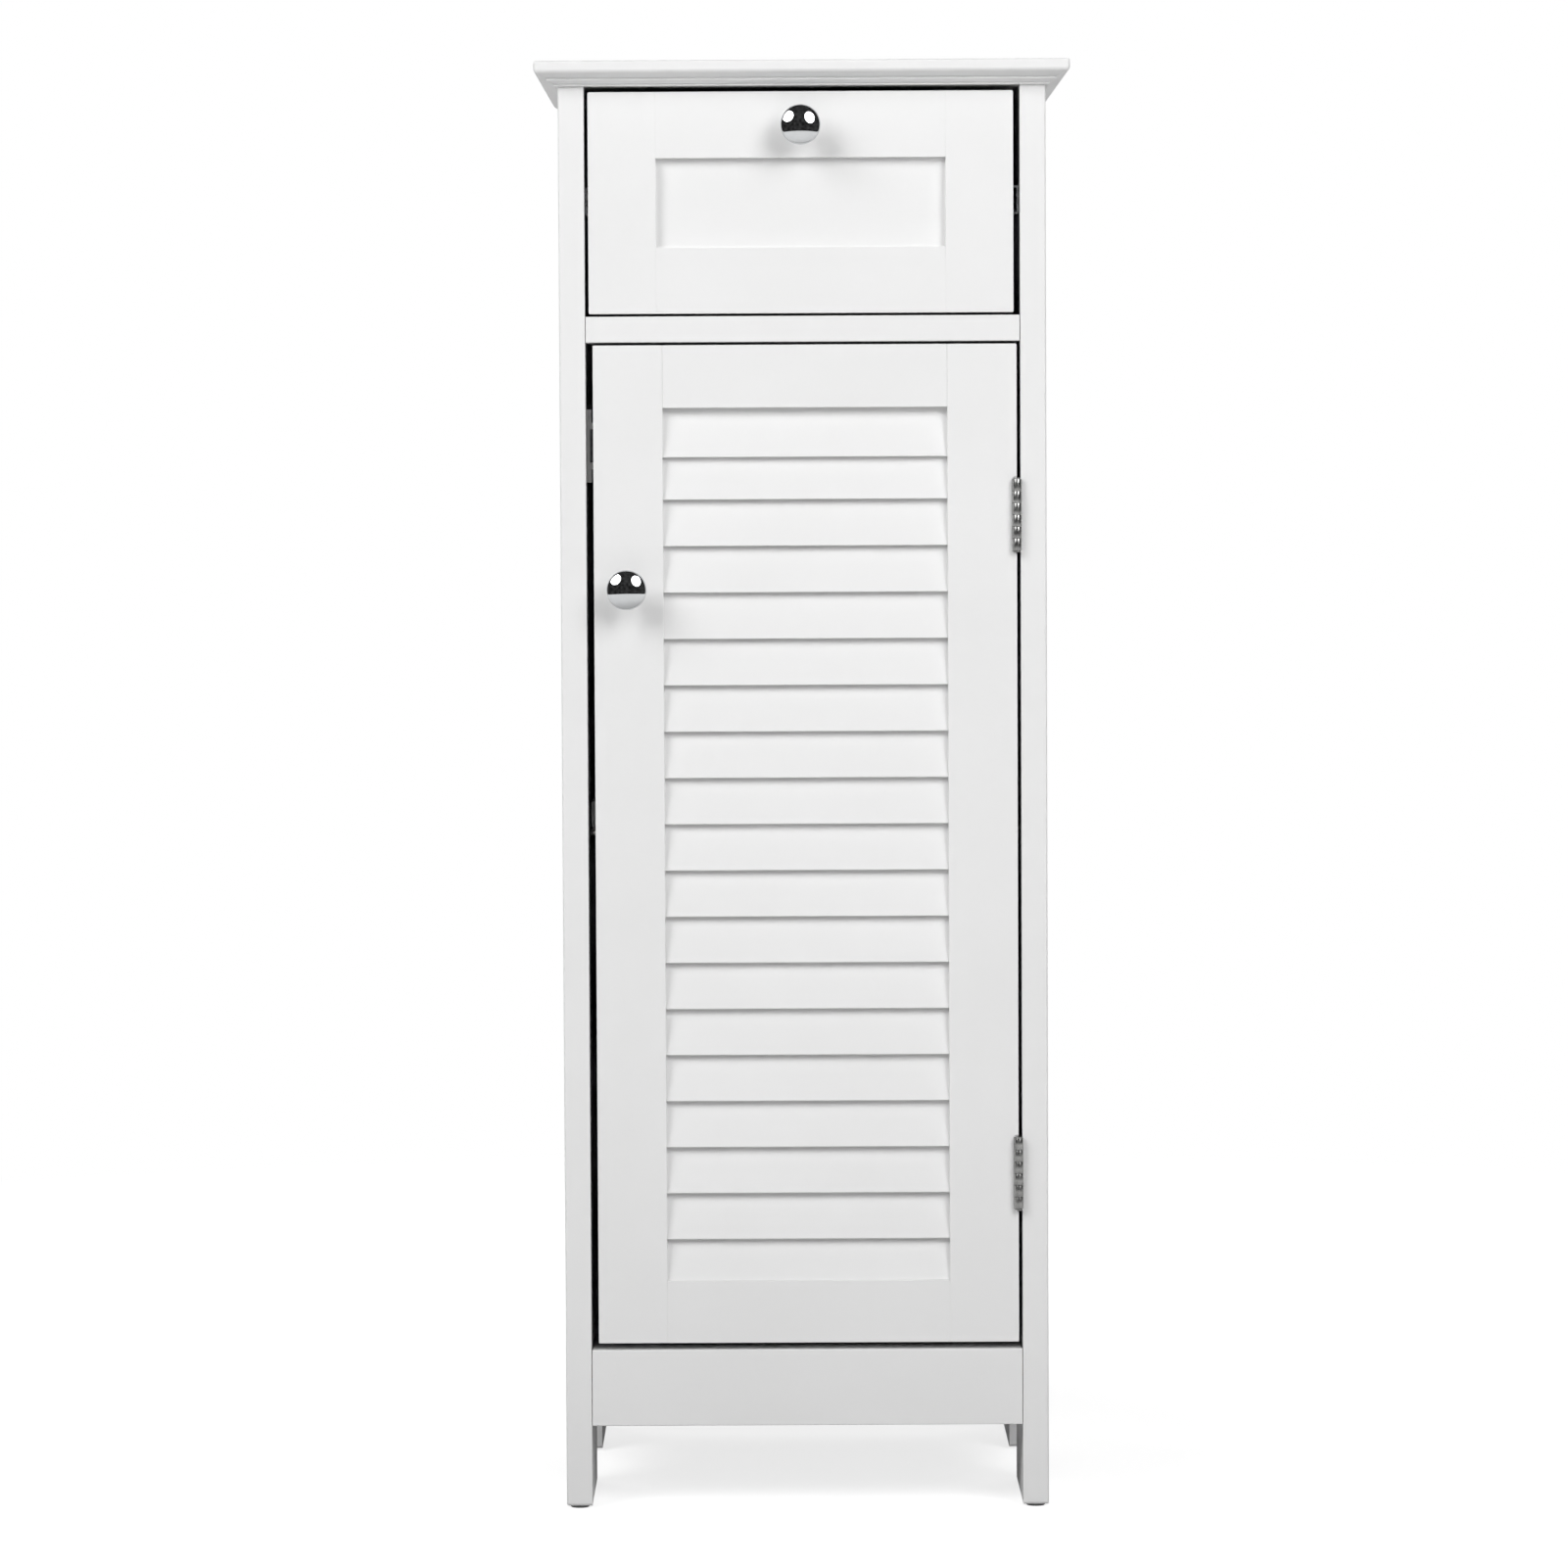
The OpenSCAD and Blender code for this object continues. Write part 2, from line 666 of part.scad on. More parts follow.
// The screws' heights as shares of the leaf's height, and their row's distance from the pin
hinge_screw_rows = [-0.34, 0, 0.34];
hinge_screw_out = leaf_w * 0.64;
function leaf_x(side) = side > 0 ? inner_x - leaf_t : hinge_x - knuckle_r;

module hinge_screws_at(side) {
    for (z = hinge_zs, k = hinge_screw_rows)
        translate([leaf_x(side) + (side > 0 ? 0 : leaf_t), hinge_y + hinge_screw_out, z + k * hinge_h])
            children();
}

module hinge_leaf(side, z) {
    x0 = leaf_x(side);
    z0 = z - hinge_h / 2;
    color("silver") difference() {
        union() {
            block([x0, hinge_y + leaf_start, z0], [x0 + leaf_t, hinge_y + leaf_w, z0 + hinge_h]);
            for (i = [(side > 0 ? 1 : 0):2:knuckle_n - 1]) {
                lo = z0 + i * knuckle_h + (i == 0 ? 0 : knuckle_gap / 2);
                hi = z0 + (i + 1) * knuckle_h - (i == knuckle_n - 1 ? 0 : knuckle_gap / 2);
                block([x0, hinge_y, lo], [x0 + leaf_t, hinge_y + leaf_start + eps, hi]);
                rod([hinge_x, hinge_y, lo], [0, 0, 1], knuckle_r, hi - lo);
            }
        }
        rod([hinge_x, hinge_y, z0 - 1], [0, 0, 1], hinge_pin_r + bore_gap, hinge_h + 2);
        hinge_screws_at(side) screw_bore([0, 0, 0], [side, 0, 0], hinge_screw);
    }
}

// The pin's upper head rests on the top knuckle; the lower one clears the bottom knuckle
module hinge_pin(z) {
    head_h = 0.8;
    head_r = knuckle_r - 0.7;
    z0 = z - hinge_h / 2 - knuckle_gap;
    z1 = z + hinge_h / 2;
    color("silver") {
        rod([hinge_x, hinge_y, z0], [0, 0, 1], hinge_pin_r, z1 - z0);
        rod([hinge_x, hinge_y, z1], [0, 0, 1], head_r, head_h);
        rod([hinge_x, hinge_y, z0 - head_h], [0, 0, 1], head_r, head_h);
    }
}

module hinge_frame_leaf_upper() {
    hinge_leaf(1, hinge_zs[1]);
}

module hinge_frame_leaf_lower() {
    hinge_leaf(1, hinge_zs[0]);
}

module hinge_door_leaf_upper() {
    hinge_leaf(-1, hinge_zs[1]);
}

module hinge_door_leaf_lower() {
    hinge_leaf(-1, hinge_zs[0]);
}

module hinge_pin_upper() {
    hinge_pin(hinge_zs[1]);
}

module hinge_pin_lower() {
    hinge_pin(hinge_zs[0]);
}

module hinge_frame_screws() {
    color("silver") hinge_screws_at(1) screw([0, 0, 0], [1, 0, 0], hinge_screw);
}

module hinge_door_screws() {
    color("silver") hinge_screws_at(-1) screw([0, 0, 0], [-1, 0, 0], hinge_screw);
}

// The notch in the door's edge for a leaf, with room for the knuckles to turn
module hinge_mortise(z) {
    margin = 0.4;
    block([hinge_x - knuckle_r, hinge_y - eps, z - hinge_h / 2 - margin],
          [door_x1 + eps, hinge_y + leaf_w + margin, z + hinge_h / 2 + margin]);
    rod([hinge_x, hinge_y, z - hinge_h / 2 - 1.5], [0, 0, 1], knuckle_r + swing_gap, hinge_h + 3);
}

// ---------------------------------------------------------------- door

// Places children at each slat's lower front corner, leaning back
module each_slat() {
    for (z = slat_zs)
        translate([0, front_y + slat_recess, louvre_z0 + z]) rotate([-slat_lean, 0, 0]) children();
}

// A slat without its tongues: its lower end is cut level
module slat_blade() {
    translate([louvre_x0, 0, 0]) rotate([90, 0, 90]) linear_extrude(louvre_x1 - louvre_x0)
        polygon([[0, 0], [slat_t, slat_t * tan(slat_lean)], [slat_t, slat_l], [0, slat_l]]);
}

module slat_tongues(gap, past) {
    z0 = (slat_l - slat_tongue) / 2;
    block([louvre_x0 - slat_slot, -gap, z0 - gap],
          [louvre_x1 + slat_slot, slat_t + gap, z0 + slat_tongue + gap]);
    if (past > 0)
        block([louvre_x0 - eps, -gap, z0 - gap], [louvre_x1 + eps, slat_t + gap, z0 + slat_tongue + gap]);
}

module louvre_slats() {
    color("white") each_slat() {
        slat_blade();
        slat_tongues(0, 0);
    }
}

// The tenon of a rail between z0 and z1, on both ends
module rail_tenons(z0, z1, gap) {
    shoulder = 5;
    y = front_y + (board_t - tenon_t) / 2;
    block([louvre_x0 - tenon_l, y - gap, z0 + shoulder - gap],
          [louvre_x1 + tenon_l, y + tenon_t + gap, z1 - shoulder + gap]);
}

module door_stile(x0, x1) {
    color("white") difference() {
        block([x0, front_y, door_z0], [x1, board_back_y, door_z1]);
        each_slat() slat_tongues(slip, 1);
        rail_tenons(louvre_z1, door_z1, 0);
        rail_tenons(door_z0, louvre_z0, 0);
        knob_bore(door_knob_at);
        for (z = hinge_zs) hinge_mortise(z);
        hinge_screws_at(-1) screw_bore([0, 0, 0], [-1, 0, 0], hinge_screw);
        at = strike_at();
        screw_bore([at.x, at.y + strike_t, at.z], [0, -1, 0], catch_screw);
    }
}

module door_stile_left() {
    door_stile(door_x0, louvre_x0);
}

module door_stile_right() {
    door_stile(louvre_x1, door_x1);
}

// The top slat's upper edge is housed in a groove in the top rail
module door_rail_top() {
    color("white") difference() {
        union() {
            block([louvre_x0, front_y, louvre_z1], [louvre_x1, board_back_y, door_z1]);
            rail_tenons(louvre_z1, door_z1, 0);
        }
        each_slat() block([louvre_x0 - 1, -slip, 0], [louvre_x1 + 1, slat_t + slip, slat_l + slip]);
    }
}

module door_rail_bottom() {
    color("white") {
        block([louvre_x0, front_y, door_z0], [louvre_x1, board_back_y, louvre_z0]);
        rail_tenons(door_z0, louvre_z0, 0);
    }
}

// ---------------------------------------------------------------- knobs

// Half section of a knob, with the axis on the left and the base at the bottom
module knob_section() {
    base_h = 1.2;
    foot_h = 3;
    dome_r = knob_d / 2;
    cap_r = 0.85 * knob_d;
    rim_r = 2.4;
    rim_z = knob_out - 7.6;
    flare_z = knob_out - 12.6;
    square([knob_base_r, base_h]);
    square([knob_neck_r, rim_z]);
    translate([0, base_h])
        polygon([[0, 0], [knob_base_r - 0.8, 0], [knob_neck_r, foot_h], [0, foot_h]]);
    // domed head with a rounded rim and a flared underside
    intersection() {
        offset(r = rim_r) offset(delta = -rim_r) intersection() {
            translate([0, knob_out - cap_r]) circle(r = cap_r, $fn = 200);
            polygon([
                [-dome_r, knob_out], [-dome_r, rim_z], [-knob_neck_r, flare_z],
                [knob_neck_r, flare_z], [dome_r, rim_z], [dome_r, knob_out]
            ]);
        }
        translate([0, flare_z]) square([knob_d, knob_out]);
    }
}

module knob(at) {
    color("gainsboro") difference() {
        along(at, [0, -1, 0]) rotate_extrude($fn = 72) knob_section();
        rod(at + [0, eps, 0], [0, -1, 0], knob_screw_r + bore_gap, knob_screw_bite + 1);
    }
}

module knob_bore(at) {
    rod(at - [0, 1, 0], [0, 1, 0], knob_screw_r + 0.3, board_t + 2);
}

// A machine screw from the back of the board into the knob
module knob_screw(at) {
    head_r = 4;
    head_h = 2.4;
    back = at + [0, board_t, 0];
    color("silver") difference() {
        union() {
            rod(back, [0, 1, 0], head_r, head_h);
            rod(back, [0, -1, 0], knob_screw_r, board_t + knob_screw_bite);
        }
        along(back + [0, head_h + eps, 0], [0, -1, 0])
            for (a = [0, 90]) rotate([0, 0, a]) block([-2.2, -0.5, 0], [2.2, 0.5, 1.4]);
    }
}

module door_knob() {
    knob(door_knob_at);
}

module door_knob_screw() {
    knob_screw(door_knob_at);
}

module drawer_knob() {
    knob(drawer_knob_at);
}

module drawer_knob_screw() {
    knob_screw(drawer_knob_at);
}

// ---------------------------------------------------------------- drawer

// The groove round the inside of the drawer front's frame
module panel_space(gap) {
    reach = panel_groove - gap;
    block([panel_x0 - reach, front_y + panel_recess, panel_z0 - reach],
          [panel_x1 + reach, front_y + panel_recess + panel_t, panel_z1 + reach]);
}

// The groove round the inside of the drawer box for its bottom
module bottom_space(gap) {
    reach = bottom_groove - gap;
    block([-box_inner_x - reach, board_back_y - reach, drawer_bottom_z],
          [box_inner_x + reach, box_back_y - box_board_t + reach, drawer_bottom_z + drawer_bottom_t]);
}

module cut_box_joints() {
    for (s = [-1, 1]) {
        for (j = box_cams(s)) cam_joint_cut(j, box_board_t, box_cam_depth);
        for (d = box_dowels(s)) dowel_cut(d, box_dowel_r, box_dowel_in_face, dowel_in_edge);
    }
}

module drawer_stile(x0, x1) {
    color("white") difference() {
        block([x0, front_y, drawer_z0], [x1, board_back_y, drawer_z1]);
        block([panel_x0 - panel_groove, front_y + panel_recess, drawer_z0 - 1],
              [panel_x1 + panel_groove, front_y + panel_recess + panel_t, drawer_z1 + 1]);
        bottom_space(0);
        cut_box_joints();
    }
}

module drawer_stile_left() {
    drawer_stile(drawer_x0, panel_x0);
}

module drawer_stile_right() {
    drawer_stile(panel_x1, drawer_x1);
}

module drawer_rail(z0, z1) {
    color("white") difference() {
        union() {
            block([panel_x0, front_y, z0], [panel_x1, board_back_y, z1]);
            block([panel_x0 - panel_groove, front_y + panel_recess, z0],
                  [panel_x1 + panel_groove, front_y + panel_recess + panel_t, z1]);
        }
        panel_space(0);
        bottom_space(0);
        knob_bore(drawer_knob_at);
    }
}

module drawer_rail_top() {
    drawer_rail(panel_z1, drawer_z1);
}

module drawer_rail_bottom() {
    drawer_rail(drawer_z0, panel_z0);
}

module drawer_panel() {
    color("white") panel_space(panel_float);
}

back_screw_in = [22, 16];
function back_screw_zs() = [box_z0 + back_screw_in[0], box_z1 - back_screw_in[1]];

module drawer_side(s) {
    color("white") difference() {
        block([s > 0 ? box_inner_x : -box_x, board_back_y, box_z0],
              [s > 0 ? box_x : -box_inner_x, box_back_y, box_z1]);
        bottom_space(0);
        cut_box_joints();
        for (y = slide_screw_ys)
            screw_bore([s * (box_x + slide_steel), y, slide_z], [-s, 0, 0], slide_screw);
        for (z = back_screw_zs())
            screw_bore([s * box_x, box_back_y - box_board_t / 2, z], [-s, 0, 0], back_screw);
    }
}

module drawer_side_left() {
    drawer_side(-1);
}

module drawer_side_right() {
    drawer_side(1);
}

module drawer_back() {
    color("white") difference() {
        block([-box_inner_x, box_back_y - box_board_t, box_z0], [box_inner_x, box_back_y, box_z1]);
        bottom_space(0);
        for (s = [-1, 1], z = back_screw_zs())
            screw_bore([s * box_x, box_back_y - box_board_t / 2, z], [-s, 0, 0], back_screw);
    }
}

module drawer_bottom() {
    color("whitesmoke") bottom_space(panel_float);
}

module drawer_cam_bolts() {
    color("silver") for (s = [-1, 1], j = box_cams(s)) cam_bolt(j);
}

module drawer_cam_locks() {
    color("silver") for (s = [-1, 1], j = box_cams(s)) cam_lock(j, box_board_t, box_cam_depth);
}

module drawer_dowels() {
    color("burlywood") for (s = [-1, 1], d = box_dowels(s)) 
        dowel(d, box_dowel_r, box_dowel_in_face, dowel_in_edge);
}

module drawer_back_screws() {
    color("silver") for (s = [-1, 1], z = back_screw_zs())
        screw([s * box_x, box_back_y - box_board_t / 2, z], [-s, 0, 0], back_screw);
}

// ---------------------------------------------------------------- drawer slides
// In these modules x is the distance in from the side panel's inner face.

module at_slide(s) {
    translate([s * inner_x, 0, slide_z]) mirror([s > 0 ? 1 : 0, 0, 0]) children();
}

// The two round tracks that the balls run in
module ball_races() {
    for (m = [-1, 1])
        rod([ball_u, slide_y - 1, m * ball_z], [0, 1, 0], ball_r + race_clear, slide_l + 2);
}

module slide_outer(s) {
    color("silver") at_slide(s) difference() {
        block([0, slide_y, -outer_half_h], [outer_edge_u, slide_y + slide_l, outer_half_h]);
        block([slide_steel, slide_y - 1, -outer_half_h + slide_steel],
              [outer_edge_u + 1, slide_y + slide_l + 1, outer_half_h - slide_steel]);
        ball_races();
        for (y = slide_screw_ys) screw_bore([slide_steel, y, 0], [-1, 0, 0], slide_screw);
    }
}

module slide_inner(s) {
    color("silver") at_slide(s) difference() {
        block([inner_edge_u, slide_y, -inner_half_h], [slide_t, slide_y + slide_l, inner_half_h]);
        block([inner_edge_u - 1, slide_y - 1, -inner_half_h + slide_steel],
              [slide_t - slide_steel, slide_y + slide_l + 1, inner_half_h - slide_steel]);
        ball_races();
        for (y = slide_screw_ys)
            screw_bore([slide_t - slide_steel, y, 0], [1, 0, 0], slide_screw);
    }
}

module each_ball() {
    for (i = [0:ball_n - 1], m = [-1, 1])
        translate([ball_u, cage_y + ball_start + i * ball_pitch, m * ball_z]) children();
}

module slide_cage(s) {
    half = cage_steel / 2;
    color("gray") at_slide(s) difference() {
        block([cage_web_u, cage_y, -ball_z - half], [cage_edge_u, cage_y + cage_l, ball_z + half]);
        block([cage_web_u + cage_steel, cage_y - 1, -ball_z + half],
              [cage_edge_u + 1, cage_y + cage_l + 1, ball_z - half]);
        each_ball() rod([0, 0, -1], [0, 0, 1], ball_r + 0.1, 2);
    }
}

module slide_balls(s) {
    color("silver") at_slide(s) each_ball() sphere(r = ball_r, $fn = 24);
}

module slide_outer_left() {
    slide_outer(-1);
}

module slide_outer_right() {
    slide_outer(1);
}

module slide_inner_left() {
    slide_inner(-1);
}

module slide_inner_right() {
    slide_inner(1);
}

module slide_cage_left() {
    slide_cage(-1);
}

module slide_cage_right() {
    slide_cage(1);
}

module slide_balls_left() {
    slide_balls(-1);
}

module slide_balls_right() {
    slide_balls(1);
}

module slide_outer_screws() {
    color("silver") for (s = [-1, 1], y = slide_screw_ys)
        screw([s * (inner_x - slide_steel), y, slide_z], [s, 0, 0], slide_screw);
}

module slide_inner_screws() {
    color("silver") for (s = [-1, 1], y = slide_screw_ys)
        screw([s * (box_x + slide_steel), y, slide_z], [-s, 0, 0], slide_screw);
}

// ---------------------------------------------------------------- all the pieces

top_panel();
side_panel_left();
side_panel_right();
divider_panel();
bottom_panel();
front_apron();
rear_rail();
back_panel();
shelf();
shelf_pins();
cam_bolts();
cam_locks();
carcass_dowels();
foot_glides();
catch_case();
catch_magnet();
catch_screws();
slide_outer_left();
slide_outer_right();
slide_outer_screws();
hinge_frame_leaf_upper();
hinge_frame_leaf_lower();
hinge_pin_upper();
hinge_pin_lower();
hinge_frame_screws();
door_stile_left();
door_stile_right();
door_rail_top();
door_rail_bottom();
louvre_slats();
door_knob();
door_knob_screw();
hinge_door_leaf_upper();
hinge_door_leaf_lower();
hinge_door_screws();
strike_plate();
strike_screw();
drawer_stile_left();
drawer_stile_right();
drawer_rail_top();
drawer_rail_bottom();
drawer_panel();
drawer_side_left();
drawer_side_right();
drawer_back();
drawer_bottom();
drawer_knob();
drawer_knob_screw();
drawer_cam_bolts();
drawer_cam_locks();
drawer_dowels();
drawer_back_screws();
slide_inner_left();
slide_inner_right();
slide_inner_screws();
slide_cage_left();
slide_cage_right();
slide_balls_left();
slide_balls_right();
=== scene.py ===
from math import cos, degrees, pi, radians, sin, sqrt

import bmesh
import bpy
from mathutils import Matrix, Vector


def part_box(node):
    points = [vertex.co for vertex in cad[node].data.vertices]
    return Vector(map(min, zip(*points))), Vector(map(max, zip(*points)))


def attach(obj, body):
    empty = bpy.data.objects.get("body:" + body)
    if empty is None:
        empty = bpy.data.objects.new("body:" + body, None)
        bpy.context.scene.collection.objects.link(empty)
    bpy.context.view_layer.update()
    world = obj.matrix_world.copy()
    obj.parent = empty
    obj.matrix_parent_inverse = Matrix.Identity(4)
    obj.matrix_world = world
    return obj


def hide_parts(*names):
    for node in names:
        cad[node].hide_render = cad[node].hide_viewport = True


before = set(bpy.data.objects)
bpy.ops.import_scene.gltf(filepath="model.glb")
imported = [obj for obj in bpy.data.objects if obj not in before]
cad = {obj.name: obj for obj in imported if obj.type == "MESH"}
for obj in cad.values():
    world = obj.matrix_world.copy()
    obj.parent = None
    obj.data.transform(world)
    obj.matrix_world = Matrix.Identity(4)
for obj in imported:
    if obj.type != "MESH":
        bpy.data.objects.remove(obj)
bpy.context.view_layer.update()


# ---------------------------------------------------------------- camera
# Stands 3.2 m in front of the cabinet, a little above the door knob, and looks slightly down at
# its front. The small shift centres the whole cabinet in a square frame.
eye = bpy.data.cameras.new("eye")
eye.sensor_width = 36
eye.lens = 124.294
eye.shift_x = 0.0200
eye.shift_y = -0.0260
eye.clip_start = 0.05
eye_stand = bpy.data.objects.new("eye", eye)
eye_stand.location = (-0.0195, -3.3856, 0.62)
eye_stand.rotation_euler = (radians(90 - 2.75), radians(0.290), radians(0.192))
bpy.context.scene.collection.objects.link(eye_stand)
bpy.context.scene.camera = eye_stand
bpy.context.scene.view_settings.view_transform = "Standard"


# ---------------------------------------------------------------- studio
# A white room with two large oval softboxes, one to each side of the camera and above it, and two
# weak lamps behind the cabinet for its back. The floor is pale and takes a shadow. A dark cloth
# behind the camera shows only in polished metal, and it glows faintly in patches: painted light
# for the dim studio that the metal mirrors.
room_light = 0.02
lamps_aim = Vector((0, -0.1, 0.9))
for name, place, size, power in (
    ("softbox_left", (-1.92, -1.96, 2.28), (1.95, 1.90), 58.2),
    ("softbox_right", (1.45, -2.28, 2.06), (1.65, 1.95), 50.3),
    ("fill_left", (-1.5, 1.5, 1.5), (1.2, 1.2), 9.0),
    ("fill_right", (1.5, 1.5, 1.5), (1.2, 1.2), 9.0),
):
    lamp = bpy.data.lights.new(name, "AREA")
    lamp.shape = "ELLIPSE"
    lamp.size, lamp.size_y = size
    lamp.energy = power
    lamp_stand = bpy.data.objects.new(name, lamp)
    lamp_stand.location = place
    aim = lamps_aim - lamp_stand.location
    lamp_stand.rotation_euler = aim.to_track_quat("-Z", "Y").to_euler()
    bpy.context.scene.collection.objects.link(lamp_stand)


def ranged(tree, value, span, result):
    """A value's span stretched onto the result's span, and cut off outside it."""
    node = tree.nodes.new("ShaderNodeMapRange")
    for end, at, to in zip(("Min", "Max"), span, result):
        node.inputs["From " + end].default_value = at
        node.inputs["To " + end].default_value = to
    tree.links.new(value, node.inputs["Value"])
    return node.outputs["Result"]


def both(tree, operation, a, b):
    """Two values taken together: their product, or the larger one."""
    node = tree.nodes.new("ShaderNodeMath")
    node.operation = operation
    tree.links.new(a, node.inputs[0])
    tree.links.new(b, node.inputs[1])
    return node.outputs[0]


room = bpy.data.worlds.new("room")
room.use_nodes = True
bpy.context.scene.world = room
tree = room.node_tree
rays = tree.nodes.new("ShaderNodeLightPath").outputs
seen = rays["Is Camera Ray"]
for kind in ("Is Glossy Ray", "Is Transmission Ray"):
    seen = both(tree, "MAXIMUM", seen, rays[kind])
background = tree.nodes["Background"].inputs
background["Color"].default_value = (1, 1, 1, 1)
tree.links.new(ranged(tree, seen, (0, 1), (room_light, 1)), background["Strength"])


def sheet_of(name, points, faces, material):
    mesh = bpy.data.meshes.new(name)
    mesh.from_pydata(points, [], faces)
    mesh.materials.append(material)
    piece = bpy.data.objects.new(name, mesh)
    bpy.context.scene.collection.objects.link(piece)
    return piece


def studio_paint(name):
    """A bare material: its tree, and the place on the surface in metres."""
    mat = bpy.data.materials.new(name)
    mat.use_nodes = True
    mat.node_tree.nodes.clear()
    return mat, mat.node_tree, mat.node_tree.nodes.new("ShaderNodeTexCoord").outputs["Object"]


# The floor's paint is darker near the cabinet, so that little light comes back up to the foot of
# its front. Seen directly the floor is lifted towards white, and in polished metal by less.
# Further out it is all white in both.
paint_reach, paint_tones = (0.3, 0.9), (0.50, 0.97)
floor_lift, mirror_lift = 0.76, 0.1
fade_reach = (0.55, 1.6)
floor_paint, tree, place = studio_paint("floor_paint")
n, l = tree.nodes, tree.links
rays = n.new("ShaderNodeLightPath").outputs
mirrored = both(tree, "MAXIMUM", rays["Is Glossy Ray"], rays["Is Transmission Ray"])
seen = both(tree, "MAXIMUM", rays["Is Camera Ray"], mirrored)
direct = ranged(tree, rays["Is Camera Ray"], (0, 1), (0, floor_lift))
mirrored = ranged(tree, mirrored, (0, 1), (0, mirror_lift))
distance = n.new("ShaderNodeVectorMath")
distance.operation = "LENGTH"
l.new(place, distance.inputs[0])
distance = distance.outputs["Value"]
paint = n.new("ShaderNodeBsdfDiffuse")
lift, white = n.new("ShaderNodeEmission"), n.new("ShaderNodeEmission")
l.new(ranged(tree, distance, paint_reach, paint_tones), paint.inputs["Color"])
l.new(both(tree, "MAXIMUM", direct, mirrored), lift.inputs["Strength"])
lifted = n.new("ShaderNodeAddShader")
l.new(paint.outputs[0], lifted.inputs[0])
l.new(lift.outputs[0], lifted.inputs[1])
blend = n.new("ShaderNodeMixShader")
l.new(both(tree, "MULTIPLY", ranged(tree, distance, fade_reach, (0, 1)), seen), blend.inputs[0])
l.new(lifted.outputs[0], blend.inputs[1])
l.new(white.outputs[0], blend.inputs[2])
l.new(blend.outputs[0], n.new("ShaderNodeOutputMaterial").inputs["Surface"])
floor_r = 2.5
floor_n = 96
floor_rim = [(floor_r * cos(2 * pi * k / floor_n), floor_r * sin(2 * pi * k / floor_n), 0)
             for k in range(floor_n)]
floor = sheet_of("floor", floor_rim, [tuple(range(floor_n))], floor_paint)

# The cloth glows faintly, and noise makes the glow brighter and darker in broad patches. This is
# painted light, which polished metal mirrors as a dim studio.
glow_patch_scale = 1.6
cloth_glow = (0.0155, 0.065)
dark_cloth, tree, place = studio_paint("dark_cloth")
n, l = tree.nodes, tree.links
glow_patches = n.new("ShaderNodeTexNoise")
glow_patches.inputs["Scale"].default_value = glow_patch_scale
l.new(place, glow_patches.inputs["Vector"])
glow = n.new("ShaderNodeEmission")
l.new(ranged(tree, glow_patches.outputs[0], (0.35, 0.7), cloth_glow), glow.inputs["Strength"])
l.new(glow.outputs[0], n.new("ShaderNodeOutputMaterial").inputs["Surface"])
tent_foot, tent_h = -1.5, 4.2
tent_poles = ((4.6, 1.2), (4.4, -0.9), (3.4, -2.9), (1.6, -4.1))
tent_plan = [(x * side, y) for side in (-1, 1) for x, y in tent_poles[::-side]]
tent_points = [(x, y, z) for z in (tent_foot, tent_h) for x, y in tent_plan]
wall_n = len(tent_plan)
tent_faces = [(k, k + 1, wall_n + k + 1, wall_n + k) for k in range(wall_n - 1)]
tent_faces.append(tuple(range(wall_n, 2 * wall_n)))
tent = sheet_of("dark_tent", tent_points, tent_faces, dark_cloth)
tent.visible_camera = tent.visible_diffuse = False
tent.visible_shadow = tent.visible_transmission = False


# ---------------------------------------------------------------- top board
# Fibreboard with two bevels, a fillet and a bead cut along its front and sides, sanded and sprayed
# with white satin lacquer. Cam bolts and dowels hold it on the sides.
def finish(name, tones, mottle, gloss, relief, grain=(1, 1, 1), metal=0.0, mirror=0.5):
    """A finish whose colour and gloss drift over the piece, with a fine relief on it.

    tones are the two colours it drifts between, and mottle says how many drifts go to the metre.
    gloss is the lowest and highest roughness, and relief gives its count to the metre and its
    height. grain draws the pattern out along an axis where it is below 1. mirror is how much
    of its surroundings it mirrors."""
    mat = bpy.data.materials.new(name)
    mat.use_nodes = True
    tree = mat.node_tree
    n, l = tree.nodes, tree.links
    shader = n["Principled BSDF"]
    shader.inputs["Metallic"].default_value = metal
    shader.inputs["Specular IOR Level"].default_value = mirror
    place = n.new("ShaderNodeTexCoord")
    stretch = n.new("ShaderNodeMapping")
    stretch.inputs["Scale"].default_value = grain
    l.new(place.outputs["Object"], stretch.inputs["Vector"])

    def noise(scale, detail):
        tex = n.new("ShaderNodeTexNoise")
        tex.inputs["Scale"].default_value = scale
        tex.inputs["Detail"].default_value = detail
        l.new(stretch.outputs[0], tex.inputs["Vector"])
        return tex.outputs["Fac"]

    ramp = n.new("ShaderNodeValToRGB")
    for stop, at, tone in zip(ramp.color_ramp.elements, (0.35, 0.65), tones):
        stop.position = at
        stop.color = (*tone, 1)
    l.new(noise(mottle, 4), ramp.inputs[0])
    l.new(ramp.outputs[0], shader.inputs["Base Color"])
    l.new(ranged(tree, noise(mottle * 2.7, 3), (0.3, 0.7), gloss), shader.inputs["Roughness"])
    bump = n.new("ShaderNodeBump")
    relief_scale, relief_h = relief
    bump.inputs["Distance"].default_value = relief_h
    l.new(noise(relief_scale, 2), bump.inputs["Height"])
    l.new(bump.outputs[0], shader.inputs["Normal"])
    return mat


